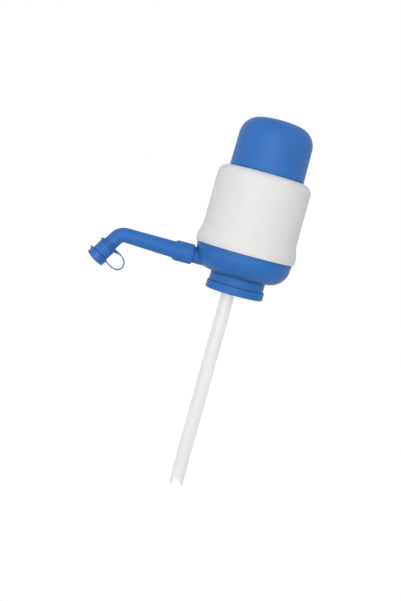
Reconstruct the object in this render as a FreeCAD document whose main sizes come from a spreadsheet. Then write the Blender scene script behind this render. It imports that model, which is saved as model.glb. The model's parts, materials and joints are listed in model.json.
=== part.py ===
import FreeCAD, Part

import math
import os
from types import SimpleNamespace

import Sketcher
from FreeCAD import Placement, Rotation, Vector

# Hand pump for a large water jug, in millimetres and degrees.
# +Z runs up the pump's axis, and the spout points along -X.
# The origin is at the centre of the seat that the jug's neck comes up against.

SIZES = {
    # Jug neck and the collar over it
    "neck_radius": 27.5,
    "neck_clearance": 0.3,
    "gasket_width": 6.3,
    "gasket_thickness": 2.5,
    "gasket_gap": 0.2,
    "gasket_edge": 0.4,
    "collar_wall": 2.2,
    "collar_depth": 16.0,
    "collar_flange": 2.3,
    "collar_mouth": 1.0,
    "lip_height": 9.0,
    "lip_width": 1.6,
    "lip_round": 1.2,
    "spigot_inset": 2.0,
    "spigot_height": 2.0,
    "spigot_gap": 0.1,
    # Bowl
    "bowl_flat": 2.9,
    "bowl_corner": 21.0,
    "bowl_wall": 2.3,
    "bowl_upright": 2.4,
    "bowl_draft": 0.15,
    "floor_thickness": 2.4,
    "band_height": 3.2,
    "band_depth": 0.35,
    # Raised dome in the bowl, over the jug's mouth
    "dome_inset": 1.5,
    "dome_wall": 2.0,
    "dome_room": 1.85,
    "dome_plate": 2.2,
    "dome_round": 1.2,
    "rim_height": 1.8,
    "rim_wall": 1.4,
    # Water way
    "water_bore": 6.0,
    "duct_wall": 2.7,
    "duct_sink": 0.25,
    "duct_end_room": 1.0,
    "boss_length": 12.3,
    "riser_step": 0.6,
    "tube_radius": 7.4,
    "tube_wall": 1.2,
    "tube_gap": 0.1,
    "tube_end": 229.0,
    "tube_stop_wall": 0.25,
    "tube_notch": 5.2,
    "socket_wall": 2.2,
    "socket_depth": 2.0,
    # Seal ring on the outlet
    "seal_section": 1.6,
    "seal_inset": 5.0,
    "seal_groove": 2.4,
    # Bellows and what holds it
    "seat_width": 5.2,
    "seat_drop": 7.4,
    "bellows_gap": 1.9,
    "bellows_height": 128.0,
    "bellows_wall": 1.3,
    "bellows_flange": 2.2,
    "bellows_flange_gap": 0.4,
    "bellows_roof": 1.8,
    "bellows_cuff": 2.6,
    "fold_depth": 6.5,
    "folds": 8,
    "clamp_gap": 1.3,
    "clamp_edge": 3.8,
    "clamp_thickness": 2.6,
    "clamp_bore_gap": 0.6,
    "screw_radius": 1.3,
    "screw_gap": 0.05,
    "screw_head": 2.7,
    "screw_head_height": 1.9,
    "screw_length": 11.0,
    "screw_boss": 3.2,
    "screw_boss_gap": 0.6,
    "screw_hole_room": 1.0,
    "screw_turn": 45.0,
    "clamp_hole_gap": 0.2,
    "screws": 4,
    # Spring, and the head that closes the bellows
    "spring_gap": 0.4,
    "spring_wire": 1.6,
    "spring_turns": 8,
    "spring_play": 0.15,
    "head_plate": 2.5,
    "head_hub": 9.0,
    "head_hub_wall": 1.6,
    "head_button_height": 3.0,
    "cup_room": 1.9,
    "cup_depth": 4.0,
    "cup_wall": 1.6,
    # Umbrella valves and the ports that they close
    "valve_radius": 6.0,
    "valve_rim": 0.5,
    "valve_middle": 1.4,
    "valve_stem": 1.5,
    "valve_bulb": 2.1,
    "valve_bulb_height": 2.0,
    "valve_hole_gap": 0.1,
    "valve_room": 1.6,
    "valve_gap": 0.5,
    "port_circle": 3.7,
    "port_radius": 1.1,
    "ports": 5,
    # Shell
    "shell_height": 87.4,
    "shell_wall": 2.2,
    "shell_shoulder": 10.4,
    "foot_step": 1.2,
    "foot_bulge": 1.1,
    "foot_round": 8.2,
    "flare_rise": 4.1,
    "flare_length": 20.5,
    "waist": 3.3,
    "mouth_inset": 9.5,
    "mouth_collar_wall": 1.6,
    "mouth_collar_height": 4.3,
    "mouth_round": 0.6,
    "seat_step": 1.2,
    "shell_seat_height": 9.6,
    "seat_spigot_height": 8.0,
    "seat_gap": 0.1,
    "snap_place": 5.0,
    "snap_height": 0.4,
    "snap_length": 2.0,
    # Press cap
    "mouth_gap": 0.9,
    "cap_draft": 0.6,
    "cap_crown": 125.0,
    "crown_flat": 0.5,
    "cap_corner": 21.8,
    "cap_wall": 2.2,
    "cap_catch": 4.0,
    "cap_flange_height": 2.4,
    "cap_stop_gap": 0.3,
    "post_height": 23.8,
    "post_radius": 12.5,
    "post_wall": 2.2,
    "post_slot": 5.0,
    "post_slot_height": 3.5,
    "rib_thickness": 1.8,
    "rib_inset": 6.1,
    "rib_depth": 11.0,
    "ribs": 6,
    # Spout
    "spout_gap": 1.7,
    "socket_length": 18.4,
    "spout_wall": 2.14,
    "socket_round": 1.6,
    "socket_shoulder": 4.0,
    "swivel_gap": 0.06,
    "boss_end_gap": 0.5,
    "pipe_wall": 1.8,
    "pipe_taper": 1.15,
    "pipe_length": 61.0,
    "pipe_rise": 1.6,
    "bend_radius": 11.0,
    "tip_angle": 58.4,
    "nozzle_step": 1.6,
    "nozzle_length": 10.4,
    "nozzle_edge": 0.6,
    "nozzle_spigot_step": 0.5,
    "nozzle_spigot_length": 5.7,
    # Strap ring, strap and cap, measured along the nozzle from the elbow's corner
    "strap_ring_start": 15.4,
    "strap_ring_width": 3.6,
    "strap_ring_wall": 1.5,
    "strap_ring_gap": 0.05,
    "strap_ring_end_gap": 0.3,
    "strap_inset": 1.0,
    "strap_width": 3.4,
    "strap_thickness": 1.2,
    "strap_bow": 8.4,
    "strap_root": 0.6,
    "strap_wedge": 3.0,
    "strap_wedge_length": 6.0,
    "spout_cap_start_gap": 0.2,
    "spout_cap_end_room": 0.6,
    "spout_cap_step": 1.1,
    "spout_cap_round": 1.5,
    "spout_cap_rim": 0.4,
    "spout_cap_flange_height": 2.1,
    "spout_cap_floor": 1.7,
    "spout_cap_gap": 0.2,
    "plug_gap": 0.3,
    "plug_wall": 1.4,
    "plug_length": 4.5,
    # Pointed tabs on ring and cap
    "tab_width": 4.0,
    "tab_inset": 0.3,
    "tab_root": 0.6,
    "tab_curve": 6.0,
    "ring_tab": 3.2,
    "ring_tab_height": 3.0,
    "ring_tab_tip": 2.2,
    "cap_tab": 2.3,
    "cap_tab_height": 2.9,
    "cap_tab_tip": 0.75,
}


class Size:
    """A number together with the sheet expression that it comes from"""

    def __init__(self, value, text):
        self.value = value
        self.text = text

    def __add__(self, other):
        return combine(self, "+", other, lambda a, b: a + b)

    def __radd__(self, other):
        return combine(other, "+", self, lambda a, b: a + b)

    def __sub__(self, other):
        return combine(self, "-", other, lambda a, b: a - b)

    def __rsub__(self, other):
        return combine(other, "-", self, lambda a, b: a - b)

    def __mul__(self, other):
        return combine(self, "*", other, lambda a, b: a * b)

    def __rmul__(self, other):
        return combine(other, "*", self, lambda a, b: a * b)

    def __truediv__(self, other):
        return combine(self, "/", other, lambda a, b: a / b)

    def __neg__(self):
        return Size(-self.value, f"(-1 * {self.text})")


def as_size(value):
    """A plain number becomes a size that has no cell of its own"""
    if isinstance(value, Size):
        return value
    return Size(float(value), f"({float(value)})")


def combine(first, sign, second, rule):
    """Two sizes joined by one arithmetic sign, as a number and as an expression"""
    first = as_size(first)
    second = as_size(second)
    return Size(rule(first.value, second.value), f"({first.text} {sign} {second.text})")


def sine(angle):
    return Size(math.sin(math.radians(angle.value)), f"sin({angle.text} * 1 deg)")


def cosine(angle):
    return Size(math.cos(math.radians(angle.value)), f"cos({angle.text} * 1 deg)")


def angle_of(slope):
    return Size(math.degrees(math.atan(slope.value)), f"(atan({slope.text}) / 1 deg)")


def root(value):
    return Size(math.sqrt(value.value), f"sqrt({value.text})")


doc = FreeCAD.newDocument("WaterJugHandPump")
sheet = doc.addObject("Spreadsheet::Sheet", "Sizes")
size = SimpleNamespace()
for row, (word, number) in enumerate(SIZES.items(), start=1):
    sheet.set(f"A{row}", word)
    sheet.set(f"B{row}", str(number))
    sheet.setAlias(f"B{row}", word)
    setattr(size, word, Size(float(number), f"Sizes.{word}"))
doc.recompute()

parts = []


# Helpers for sketches


def new_body(label):
    """An empty body that becomes one sub-part"""
    body = doc.addObject("PartDesign::Body", label)
    body.Label = label
    parts.append(body)
    return body


def origin_feature(body, role):
    for feature in body.Origin.OriginFeatures:
        if feature.Role == role:
            return feature
    raise ValueError(role)


def new_sketch(body, name, plane, across=0.0, up=0.0, out=0.0, turn=0.0, about=(0, 0, 1)):
    """A sketch on one of the body's planes, moved by across, up and out, and turned about its own axis"""
    sketch = body.newObject("Sketcher::SketchObject", name)
    sketch.AttachmentSupport = [(origin_feature(body, plane), "")]
    sketch.MapMode = "FlatFace"
    moves = [as_size(value) for value in (across, up, out)]
    turn = as_size(turn)
    base = Vector(*[move.value for move in moves])
    sketch.AttachmentOffset = Placement(base, Rotation(Vector(*about), turn.value))
    for axis, move in zip("xyz", moves):
        tie(sketch, f"AttachmentOffset.Base.{axis}", move)
    tie(sketch, "AttachmentOffset.Rotation.Angle", turn)
    return sketch


def tie(thing, field, value):
    """Binds a property to the sheet, where its value comes from there"""
    if "Sizes" in value.text:
        thing.setExpression(field, value.text)


def set_size(thing, field, value):
    value = as_size(value)
    setattr(thing, field, value.value)
    tie(thing, field, value)


def bind(sketch, constraint, value):
    """Adds one dimension to a sketch and ties it to the sheet"""
    tie(sketch, f"Constraints[{sketch.addConstraint(constraint)}]", value)


def hold_point(sketch, edge, end, across, up):
    """Fixes one end or centre of an edge at a distance across and up from the sketch's origin"""
    for kind, value in (("DistanceX", across), ("DistanceY", up)):
        bind(sketch, Sketcher.Constraint(kind, -1, 1, edge, end, value.value), value)


def arc_between(start, end, radius):
    """The short arc from start to end that runs anticlockwise"""
    chord = end - start
    half = chord.Length / 2
    right = Vector(chord.y, -chord.x, 0).normalize()
    rise = radius - math.sqrt(max(radius * radius - half * half, 0.0))
    return Part.Arc(start, (start + end) / 2 + right * rise, end)


def chain(sketch, corners, closed):
    """Lines and arcs from corner to corner.

    A corner is (across, up). Where an arc arrives at it, its radius follows, and then a side: 1 for an arc
    that bulges to the right of the way along the chain, and -1 for one that bulges to the left.
    """
    points = [(as_size(corner[0]), as_size(corner[1])) for corner in corners]
    ends = []
    for number, corner in enumerate(corners):
        if number == 0 and not closed:
            continue
        start = Vector(points[number - 1][0].value, points[number - 1][1].value, 0)
        end = Vector(points[number][0].value, points[number][1].value, 0)
        if len(corner) == 2:
            edge = sketch.addGeometry(Part.LineSegment(start, end))
            ends.append((edge, 1, 2))
            continue
        radius = as_size(corner[2])
        forward = corner[3] == 1
        arc = arc_between(start, end, radius.value) if forward else arc_between(end, start, radius.value)
        edge = sketch.addGeometry(arc)
        bind(sketch, Sketcher.Constraint("Radius", edge, radius.value), radius)
        ends.append((edge, 1, 2) if forward else (edge, 2, 1))
    for number, (edge, first, _) in enumerate(ends):
        before, _, last = ends[number - 1]
        if number or closed:
            sketch.addConstraint(Sketcher.Constraint("Coincident", before, last, edge, first))
    if not closed:
        hold_point(sketch, ends[0][0], ends[0][1], *points[0])
        points = points[1:]
    for (edge, _, last), point in zip(ends, points):
        hold_point(sketch, edge, last, *point)


def circle(sketch, across, up, radius):
    """A whole circle, with its centre and radius tied to the sheet"""
    across, up, radius = as_size(across), as_size(up), as_size(radius)
    centre = Vector(across.value, up.value, 0)
    edge = sketch.addGeometry(Part.Circle(centre, Vector(0, 0, 1), radius.value))
    hold_point(sketch, edge, 3, across, up)
    bind(sketch, Sketcher.Constraint("Radius", edge, radius.value), radius)


def box(left, low, right, high):
    return [(right, low), (right, high), (left, high), (left, low)]


# Helpers for features


def add_feature(body, kind, name, sketch):
    feature = body.newObject(f"PartDesign::{kind}", name)
    feature.Profile = sketch
    return feature


def turned(body, name, corners, cut=False, about="V_Axis", **place):
    """A turned form: an outline in the upright plane, turned once about an axis of its own sketch"""
    sketch = new_sketch(body, f"{name}_outline", "XZ_Plane", **place)
    chain(sketch, corners, True)
    feature = add_feature(body, "Groove" if cut else "Revolution", name, sketch)
    feature.ReferenceAxis = (sketch, [about])
    feature.Angle = 360
    doc.recompute()
    return feature


def straight(body, name, sketch, length, cut=False, both=False, back=False):
    """Pushes a sketch out of its plane, or cuts it into the solid"""
    feature = add_feature(body, "Pocket" if cut else "Pad", name, sketch)
    set_size(feature, "Length", length)
    feature.Reversed = back
    feature.Midplane = both
    doc.recompute()
    return feature


def block(body, name, plane, corners, length, cut=False, both=False, back=False, **place):
    sketch = new_sketch(body, f"{name}_outline", plane, **place)
    chain(sketch, corners, True)
    return straight(body, name, sketch, length, cut, both, back)


def rod(body, name, plane, radius, length, cut=False, both=False, back=False, centre=(0.0, 0.0), **place):
    sketch = new_sketch(body, f"{name}_outline", plane, **place)
    circle(sketch, *centre, radius)
    return straight(body, name, sketch, length, cut, both, back)


def ring_of(body, name, feature, count, axis=None):
    """Copies of a feature round the body's upright axis, or round the axis given"""
    pattern = body.newObject("PartDesign::PolarPattern", name)
    pattern.Originals = [feature]
    pattern.Axis = axis or (origin_feature(body, "Z_Axis"), [""])
    pattern.Angle = 360
    pattern.Occurrences = int(count.value)
    tie(pattern, "Occurrences", count)
    body.Tip = pattern
    doc.recompute()


def column_of(body, name, features, step, count):
    """Copies of features up the body's axis, one step apart"""
    pattern = body.newObject("PartDesign::LinearPattern", name)
    pattern.Originals = features
    pattern.Direction = (origin_feature(body, "Z_Axis"), [""])
    set_size(pattern, "Length", step * (count - 1))
    pattern.Occurrences = int(count.value)
    tie(pattern, "Occurrences", count)
    body.Tip = pattern
    doc.recompute()


def swept(body, name, section, spine, cut=False):
    """Carries a section sketch along a path sketch"""
    feature = add_feature(body, "SubtractivePipe" if cut else "AdditivePipe", name, section)
    feature.Spine = (spine, [f"Edge{number + 1}" for number in range(spine.GeometryCount)])
    doc.recompute()
    return feature


def rounded(body, name, radius, edge_radius, height):
    """Rounds the circular edge of this radius at this height"""
    base = body.Tip
    names = []
    for number, edge in enumerate(base.Shape.Edges, start=1):
        curve = edge.Curve
        if not isinstance(curve, Part.Circle) or abs(curve.Radius - edge_radius.value) > 1e-3:
            continue
        if abs(edge.Vertexes[0].Z - height.value) < 1e-3:
            names.append(f"Edge{number}")
    if not names:
        raise ValueError(f"{name} found no edge")
    feature = body.newObject("PartDesign::Fillet", name)
    feature.Base = (base, names)
    set_size(feature, "Radius", radius)
    doc.recompute()


# Sizes that follow from others. The collar and bowl start from the jug's neck

neck_bore = size.neck_radius + size.neck_clearance
collar_radius = neck_bore + size.collar_wall
size.neck_opening = neck_bore - size.gasket_width
size.spigot_radius = collar_radius - size.spigot_inset
flange_top = size.gasket_thickness + size.collar_flange
bowl_bottom = flange_top - size.spigot_height
corner_across = size.spigot_radius + size.spigot_gap + size.bowl_flat
corner_up = bowl_bottom + size.bowl_corner
inner_corner = size.bowl_corner - size.bowl_wall
bowl_wall_radius = corner_across + size.bowl_corner
bowl_inside = bowl_wall_radius - size.bowl_wall
size.bowl_radius = bowl_wall_radius + size.bowl_draft + size.band_depth
bowl_top = corner_up + size.bowl_upright + size.band_height

# The shell stands on the bowl, and the press cap slides in the shell's mouth

size.shell_seat = size.bowl_radius - size.seat_step
seat_spigot = size.shell_seat - size.seat_gap
snap_middle = bowl_top + size.snap_place
size.foot_radius = size.bowl_radius + size.foot_step
size.shell_flare = size.foot_radius + size.foot_bulge
size.shell_radius = size.shell_flare - size.waist
size.shell_top = bowl_top + size.shell_height
size.flare_low = bowl_top + size.flare_rise
size.flare_high = size.flare_low + size.flare_length
size.mouth_radius = size.shell_radius - size.mouth_inset
size.cap_radius = size.mouth_radius - size.mouth_gap
size.cap_flange = size.mouth_radius + size.cap_catch
size.rib_reach = size.cap_radius - size.rib_inset
cap_flange_top = size.shell_top - size.mouth_collar_height - size.cap_stop_gap
cap_bottom = cap_flange_top - size.cap_flange_height

# The bellows fits in the cap, and its clamp ring in the bowl

size.bellows_radius = size.cap_radius - size.cap_wall - size.bellows_gap
size.bellows_root = size.bellows_radius - size.fold_depth
size.clamp_radius = bowl_inside - size.clamp_gap
size.clamp_bore = size.bellows_radius + size.clamp_bore_gap
size.screw_circle = size.clamp_radius - size.clamp_edge
size.seat_outer = size.screw_circle - size.screw_boss - size.screw_boss_gap
size.seat_inner = size.seat_outer - size.seat_width
size.seat_height = bowl_top - size.seat_drop
size.bellows_flange_radius = size.seat_outer - size.bellows_flange_gap
size.bellows_top = size.seat_height + size.bellows_height
flange_seat = size.seat_height + size.bellows_flange
roof_bottom = size.bellows_top - size.bellows_roof
head_bottom = roof_bottom - size.head_plate
head_top = size.bellows_top + size.head_button_height
size.head_button = size.post_radius
size.cap_top = head_top + size.post_height

# The water way lies on the collar's flange, under the dome that carries valve and spring

size.duct_radius = size.water_bore + size.duct_wall
size.outlet_height = flange_top + size.duct_radius - size.duct_sink
size.riser_bore = size.tube_radius - size.tube_wall - size.riser_step
size.tube_stop = size.outlet_height - size.water_bore - size.tube_stop_wall
socket_radius = size.tube_radius + size.tube_gap + size.socket_wall
size.dome_radius = size.neck_opening - size.dome_inset
size.dome_top = size.outlet_height + size.duct_radius + size.dome_room + size.dome_plate
plate_bottom = size.dome_top - size.dome_plate
size.valve_place = size.dome_radius - size.dome_wall - size.valve_room - size.valve_radius
size.tube_offset = socket_radius + size.valve_gap + size.valve_radius - size.valve_place
spring_outside = size.dome_radius - size.dome_round - size.rim_wall - size.spring_gap
size.spring_radius = spring_outside - size.spring_wire / 2
size.head_radius = spring_outside + size.cup_room + size.cup_wall

# The spout's socket turns on the boss, and ring, nozzle and cap follow each other along its end

size.socket_start = size.bowl_radius + size.spout_gap
size.boss_reach = size.socket_start + size.boss_length
size.seal_place = size.boss_reach - size.seal_inset
spout_bore = size.duct_radius + size.swivel_gap
size.spout_socket = spout_bore + size.spout_wall
size.pipe_radius = size.water_bore + size.pipe_wall
size.pipe_root = size.pipe_radius + size.pipe_taper
pipe_start = size.socket_start + size.socket_length
elbow_across = -pipe_start - size.pipe_length * cosine(size.pipe_rise)
elbow_up = size.outlet_height + size.pipe_length * sine(size.pipe_rise)
leg_turn = size.tip_angle - 90
strap_ring_radius = size.pipe_radius + size.strap_ring_gap + size.strap_ring_wall
strap_start = size.strap_ring_start + size.strap_inset
size.nozzle_radius = size.pipe_radius + size.nozzle_step
size.nozzle_spigot = size.pipe_radius + size.nozzle_spigot_step
size.nozzle_start = size.strap_ring_start + size.strap_ring_width + size.strap_ring_end_gap
size.nozzle_end = size.nozzle_start + size.nozzle_length
size.nozzle_tip = size.nozzle_end + size.nozzle_spigot_length
size.spout_cap_start = size.nozzle_end + size.spout_cap_start_gap
size.spout_cap_end = size.nozzle_tip + size.spout_cap_end_room + size.spout_cap_floor
size.spout_cap_radius = size.nozzle_radius + size.spout_cap_step
size.spout_cap_flange = size.spout_cap_radius + size.spout_cap_rim
size.plug_radius = size.water_bore - size.plug_gap
size.strap_reach = size.spout_cap_flange + size.strap_bow
cap_flange_middle = size.spout_cap_start + size.spout_cap_flange_height / 2


def valve_ports(body, name, bottom, thickness, across=0.0):
    """The stem hole and the ring of ports that an umbrella valve closes, through a plate"""
    hole = size.valve_stem + size.valve_hole_gap
    place = {"across": across, "out": bottom}
    rod(body, f"{name}_stem_hole", "XY_Plane", hole, thickness, cut=True, back=True, **place)
    sketch = new_sketch(body, f"{name}_port_outline", "XY_Plane", **place)
    circle(sketch, size.port_circle, 0.0, size.port_radius)
    port = straight(body, f"{name}_port", sketch, thickness, cut=True, back=True)
    ring_of(body, f"{name}_ports", port, size.ports, (sketch, ["N_Axis"]))


def umbrella_valve(label, plate_height, plate, across=0.0):
    """A rubber disc under a plate, with a stem through it that ends in a bulb"""
    body = new_body(label)
    bulb_top = plate + size.valve_bulb_height
    turned(
        body,
        f"{label}_form",
        [
            (0.0, -size.valve_middle),
            (size.valve_stem, -size.valve_middle),
            (size.valve_radius, -size.valve_rim),
            (size.valve_radius, 0.0),
            (size.valve_stem, 0.0),
            (size.valve_stem, plate),
            (size.valve_bulb, plate),
            (size.valve_stem / 2, bulb_top),
            (0.0, bulb_top),
        ],
    )
    across = as_size(across)
    body.Placement = Placement(Vector(across.value, 0, plate_height.value), Rotation())
    tie(body, "Placement.Base.x", across)
    tie(body, "Placement.Base.z", plate_height)


def on_nozzle(body):
    """Stands a body's upright axis in the nozzle's, with its origin at the elbow's corner"""
    lean = 90 - size.tip_angle
    place = Vector(elbow_across.value, 0, elbow_up.value)
    body.Placement = Placement(place, Rotation(Vector(0, 1, 0), lean.value))
    tie(body, "Placement.Base.x", elbow_across)
    tie(body, "Placement.Base.z", elbow_up)
    tie(body, "Placement.Rotation.Angle", lean)


# Neck collar and gasket


def neck_collar():
    body = new_body("neck_collar")
    lip = collar_radius + size.lip_width
    lip_top = size.lip_height - size.collar_depth
    turned(
        body,
        "collar_form",
        [
            (neck_bore + size.collar_mouth, -size.collar_depth),
            (lip - size.lip_round, -size.collar_depth),
            (lip, size.lip_round - size.collar_depth, size.lip_round, 1),
            (lip, lip_top - size.lip_round),
            (lip - size.lip_round, lip_top, size.lip_round, 1),
            (collar_radius, lip_top),
            (collar_radius, bowl_bottom),
            (size.spigot_radius, bowl_bottom),
            (size.spigot_radius, flange_top),
            (size.neck_opening, flange_top),
            (size.neck_opening, size.gasket_thickness),
            (neck_bore, size.gasket_thickness),
            (neck_bore, size.collar_mouth * 2 - size.collar_depth),
        ],
    )


def neck_gasket():
    body = new_body("neck_gasket")
    outer = neck_bore - size.gasket_gap
    edge = size.gasket_edge
    turned(
        body,
        "gasket_form",
        [
            (size.neck_opening + edge, 0.0, edge, 1),
            (outer - edge, 0.0),
            (outer, edge, edge, 1),
            (outer, size.gasket_thickness),
            (size.neck_opening, size.gasket_thickness),
            (size.neck_opening, edge),
        ],
    )


# Bowl, with its dome, bellows seat, screw bosses and water way


def base_bowl():
    body = new_body("base_bowl")
    recess = size.spigot_radius + size.spigot_gap
    band_bottom = bowl_top - size.band_height
    spigot_top = bowl_top + size.seat_spigot_height
    inner_floor = flange_top + size.floor_thickness
    seat_side = size.seat_outer - corner_across
    seat_foot = corner_up - root(inner_corner * inner_corner - seat_side * seat_side)
    rim = size.dome_radius - size.dome_round
    dome_inside = size.dome_radius - size.dome_wall
    turned(
        body,
        "bowl_wall_form",
        [
            (dome_inside, flange_top),
            (recess, flange_top),
            (recess, bowl_bottom),
            (corner_across, bowl_bottom),
            (bowl_wall_radius, corner_up, size.bowl_corner, 1),
            (size.bowl_radius - size.band_depth, band_bottom),
            (size.bowl_radius, band_bottom),
            (size.bowl_radius, bowl_top),
            (seat_spigot, bowl_top),
            (seat_spigot, snap_middle - size.snap_length / 2),
            (seat_spigot + size.snap_height, snap_middle),
            (seat_spigot, snap_middle + size.snap_length / 2),
            (seat_spigot, spigot_top),
            (bowl_inside, spigot_top),
            (bowl_inside, corner_up),
            (size.seat_outer, seat_foot, inner_corner, -1),
            (size.seat_outer, size.seat_height),
            (size.seat_inner, size.seat_height),
            (size.seat_inner, inner_floor),
            (size.dome_radius, inner_floor),
            (size.dome_radius, size.dome_top - size.dome_round),
            (rim, size.dome_top, size.dome_round, 1),
            (rim, size.dome_top + size.rim_height),
            (rim - size.rim_wall, size.dome_top + size.rim_height),
            (rim - size.rim_wall, size.dome_top),
            (0.0, size.dome_top),
            (0.0, plate_bottom),
            (dome_inside, plate_bottom),
        ],
    )
    screw_bosses(body)
    water_way(body)
    valve_ports(body, "discharge", plate_bottom, size.dome_plate, across=size.valve_place)


def screw_bosses(body):
    """Bosses that take the clamp ring's screws, rising from the bowl's curved floor"""
    sketch = new_sketch(body, "boss_outline", "XY_Plane", out=bowl_bottom, turn=size.screw_turn)
    circle(sketch, size.screw_circle, 0.0, size.screw_boss)
    boss = straight(body, "boss", sketch, flange_seat - bowl_bottom)
    ring_of(body, "bosses", boss, size.screws)
    clear = size.bowl_radius + size.screw_boss
    turned(
        body,
        "outside_trim",
        [
            (corner_across, bowl_bottom, size.bowl_corner, -1),
            (corner_across, bowl_bottom - size.bowl_wall),
            (clear, bowl_bottom - size.bowl_wall),
            (clear, corner_up),
            (bowl_wall_radius, corner_up),
        ],
        cut=True,
    )
    sketch = new_sketch(body, "screw_hole_outline", "XY_Plane", out=flange_seat, turn=size.screw_turn)
    circle(sketch, size.screw_circle, 0.0, size.screw_radius + size.screw_gap)
    depth = size.screw_length - size.clamp_thickness + size.screw_hole_room
    hole = straight(body, "screw_hole", sketch, depth, cut=True)
    ring_of(body, "screw_holes", hole, size.screws)


def water_way(body):
    """The duct from the middle out to the boss, and the socket that holds the tube"""
    duct_start = -size.boss_reach
    duct_length = size.boss_reach - size.tube_offset + socket_radius
    bore_length = size.boss_reach - size.tube_offset + size.riser_bore + size.duct_end_room
    along = {"up": size.outlet_height, "out": duct_start}
    below = {"across": -size.tube_offset, "out": -size.socket_depth}
    rod(body, "duct", "YZ_Plane", size.duct_radius, duct_length, **along)
    recess = size.spigot_radius + size.spigot_gap
    rod(body, "collar_recess", "XY_Plane", recess, size.spigot_height, cut=True, out=flange_top)
    rod(body, "tube_socket", "XY_Plane", socket_radius, size.socket_depth + size.outlet_height, **below)
    rod(body, "duct_bore", "YZ_Plane", size.water_bore, bore_length, cut=True, back=True, **along)
    tube_hole = size.tube_radius + size.tube_gap
    hole_depth = size.socket_depth + size.tube_stop
    rod(body, "tube_hole", "XY_Plane", tube_hole, hole_depth, cut=True, back=True, **below)
    rise = size.outlet_height - size.tube_stop
    above = {"across": -size.tube_offset, "out": size.tube_stop}
    rod(body, "riser", "XY_Plane", size.riser_bore, rise, cut=True, back=True, **above)
    turned(
        body,
        "seal_groove_cut",
        box(
            -size.seal_place - size.seal_groove / 2,
            size.duct_radius - size.seal_section,
            -size.seal_place + size.seal_groove / 2,
            size.duct_radius + size.seal_section,
        ),
        cut=True,
        about="H_Axis",
        up=size.outlet_height,
    )


def outlet_seal():
    body = new_body("outlet_seal")
    sketch = new_sketch(body, "seal_section_outline", "XZ_Plane", up=size.outlet_height)
    circle(sketch, -size.seal_place, size.duct_radius - size.seal_section / 2, size.seal_section / 2)
    feature = add_feature(body, "Revolution", "seal_form", sketch)
    feature.ReferenceAxis = (sketch, ["H_Axis"])
    feature.Angle = 360
    doc.recompute()


def suction_tube():
    """A clear tube, with an arch cut through its lower end so that it can stand on the jug's floor"""
    body = new_body("suction_tube")
    turned(
        body,
        "tube_form",
        box(size.tube_radius - size.tube_wall, -size.tube_end, size.tube_radius, size.tube_stop),
    )
    across = size.tube_radius * 2 + size.tube_wall
    rod(body, "tube_notch", "XZ_Plane", size.tube_notch, across, cut=True, both=True, up=-size.tube_end)
    body.Placement = Placement(Vector(-size.tube_offset.value, 0, 0), Rotation())
    tie(body, "Placement.Base.x", -size.tube_offset)


# Bellows, clamp ring and screws


def bellows():
    """A rubber bellows with a flange at its foot and a roof with one hole at its top"""
    body = new_body("bellows")
    inner = size.bellows_root - size.bellows_wall
    fold_start = flange_seat + size.bellows_cuff
    pitch = (roof_bottom - fold_start) / size.folds
    turned(
        body,
        "bellows_foot",
        [
            (inner, size.seat_height),
            (size.bellows_flange_radius, size.seat_height),
            (size.bellows_flange_radius, flange_seat),
            (size.bellows_root, flange_seat),
            (size.bellows_root, fold_start),
            (inner, fold_start),
        ],
    )
    fold = turned(
        body,
        "bellows_fold",
        [
            (size.bellows_root, fold_start),
            (size.bellows_radius, fold_start + pitch / 2),
            (size.bellows_root, fold_start + pitch),
            (inner, fold_start + pitch),
            (size.bellows_radius - size.bellows_wall, fold_start + pitch / 2),
            (inner, fold_start),
        ],
    )
    column_of(body, "bellows_folds", [fold], pitch, size.folds)
    turned(
        body,
        "bellows_roof",
        [
            (size.head_hub, roof_bottom),
            (size.bellows_root, roof_bottom),
            (size.bellows_root - size.bellows_roof, size.bellows_top, size.bellows_roof, 1),
            (size.head_hub, size.bellows_top),
        ],
    )


def bellows_clamp_ring():
    body = new_body("bellows_clamp_ring")
    ring_top = flange_seat + size.clamp_thickness
    turned(body, "clamp_form", box(size.clamp_bore, flange_seat, size.clamp_radius, ring_top))
    sketch = new_sketch(body, "clamp_hole_outline", "XY_Plane", out=ring_top, turn=size.screw_turn)
    circle(sketch, size.screw_circle, 0.0, size.screw_radius + size.clamp_hole_gap)
    hole = straight(body, "clamp_hole", sketch, size.clamp_thickness, cut=True)
    ring_of(body, "clamp_holes", hole, size.screws)


def clamp_screws():
    """Self-tapping screws with pan heads, in one node"""
    body = new_body("clamp_screws")
    body.AllowCompound = True
    seat = flange_seat + size.clamp_thickness
    tip = seat - size.screw_length
    crown = size.screw_head_height / 2
    screw = turned(
        body,
        "screw_form",
        [
            (0.0, tip),
            (size.screw_radius, tip + size.screw_radius),
            (size.screw_radius, seat),
            (size.screw_head, seat),
            (size.screw_head, seat + crown),
            (size.screw_head - crown, seat + size.screw_head_height, crown, 1),
            (0.0, seat + size.screw_head_height),
        ],
        across=size.screw_circle,
    )
    ring_of(body, "screw_ring", screw, size.screws)
    body.Placement = Placement(Vector(), Rotation(Vector(0, 0, 1), size.screw_turn.value))
    tie(body, "Placement.Rotation.Angle", size.screw_turn)


# Bellows head and return spring


def bellows_head():
    """Closes the bellows, carries the intake valve, and holds the spring's upper end in a cup"""
    body = new_body("bellows_head")
    hub_inside = size.head_hub - size.head_hub_wall
    cup_inside = size.head_radius - size.cup_wall
    turned(
        body,
        "head_form",
        [
            (0.0, head_bottom),
            (cup_inside, head_bottom),
            (cup_inside, head_bottom - size.cup_depth),
            (size.head_radius, head_bottom - size.cup_depth),
            (size.head_radius, roof_bottom),
            (size.head_hub, roof_bottom),
            (size.head_hub, size.bellows_top),
            (size.head_button, size.bellows_top),
            (size.head_button, head_top),
            (hub_inside, head_top),
            (hub_inside, roof_bottom),
            (0.0, roof_bottom),
        ],
    )
    valve_ports(body, "intake", head_bottom, size.head_plate)


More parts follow.
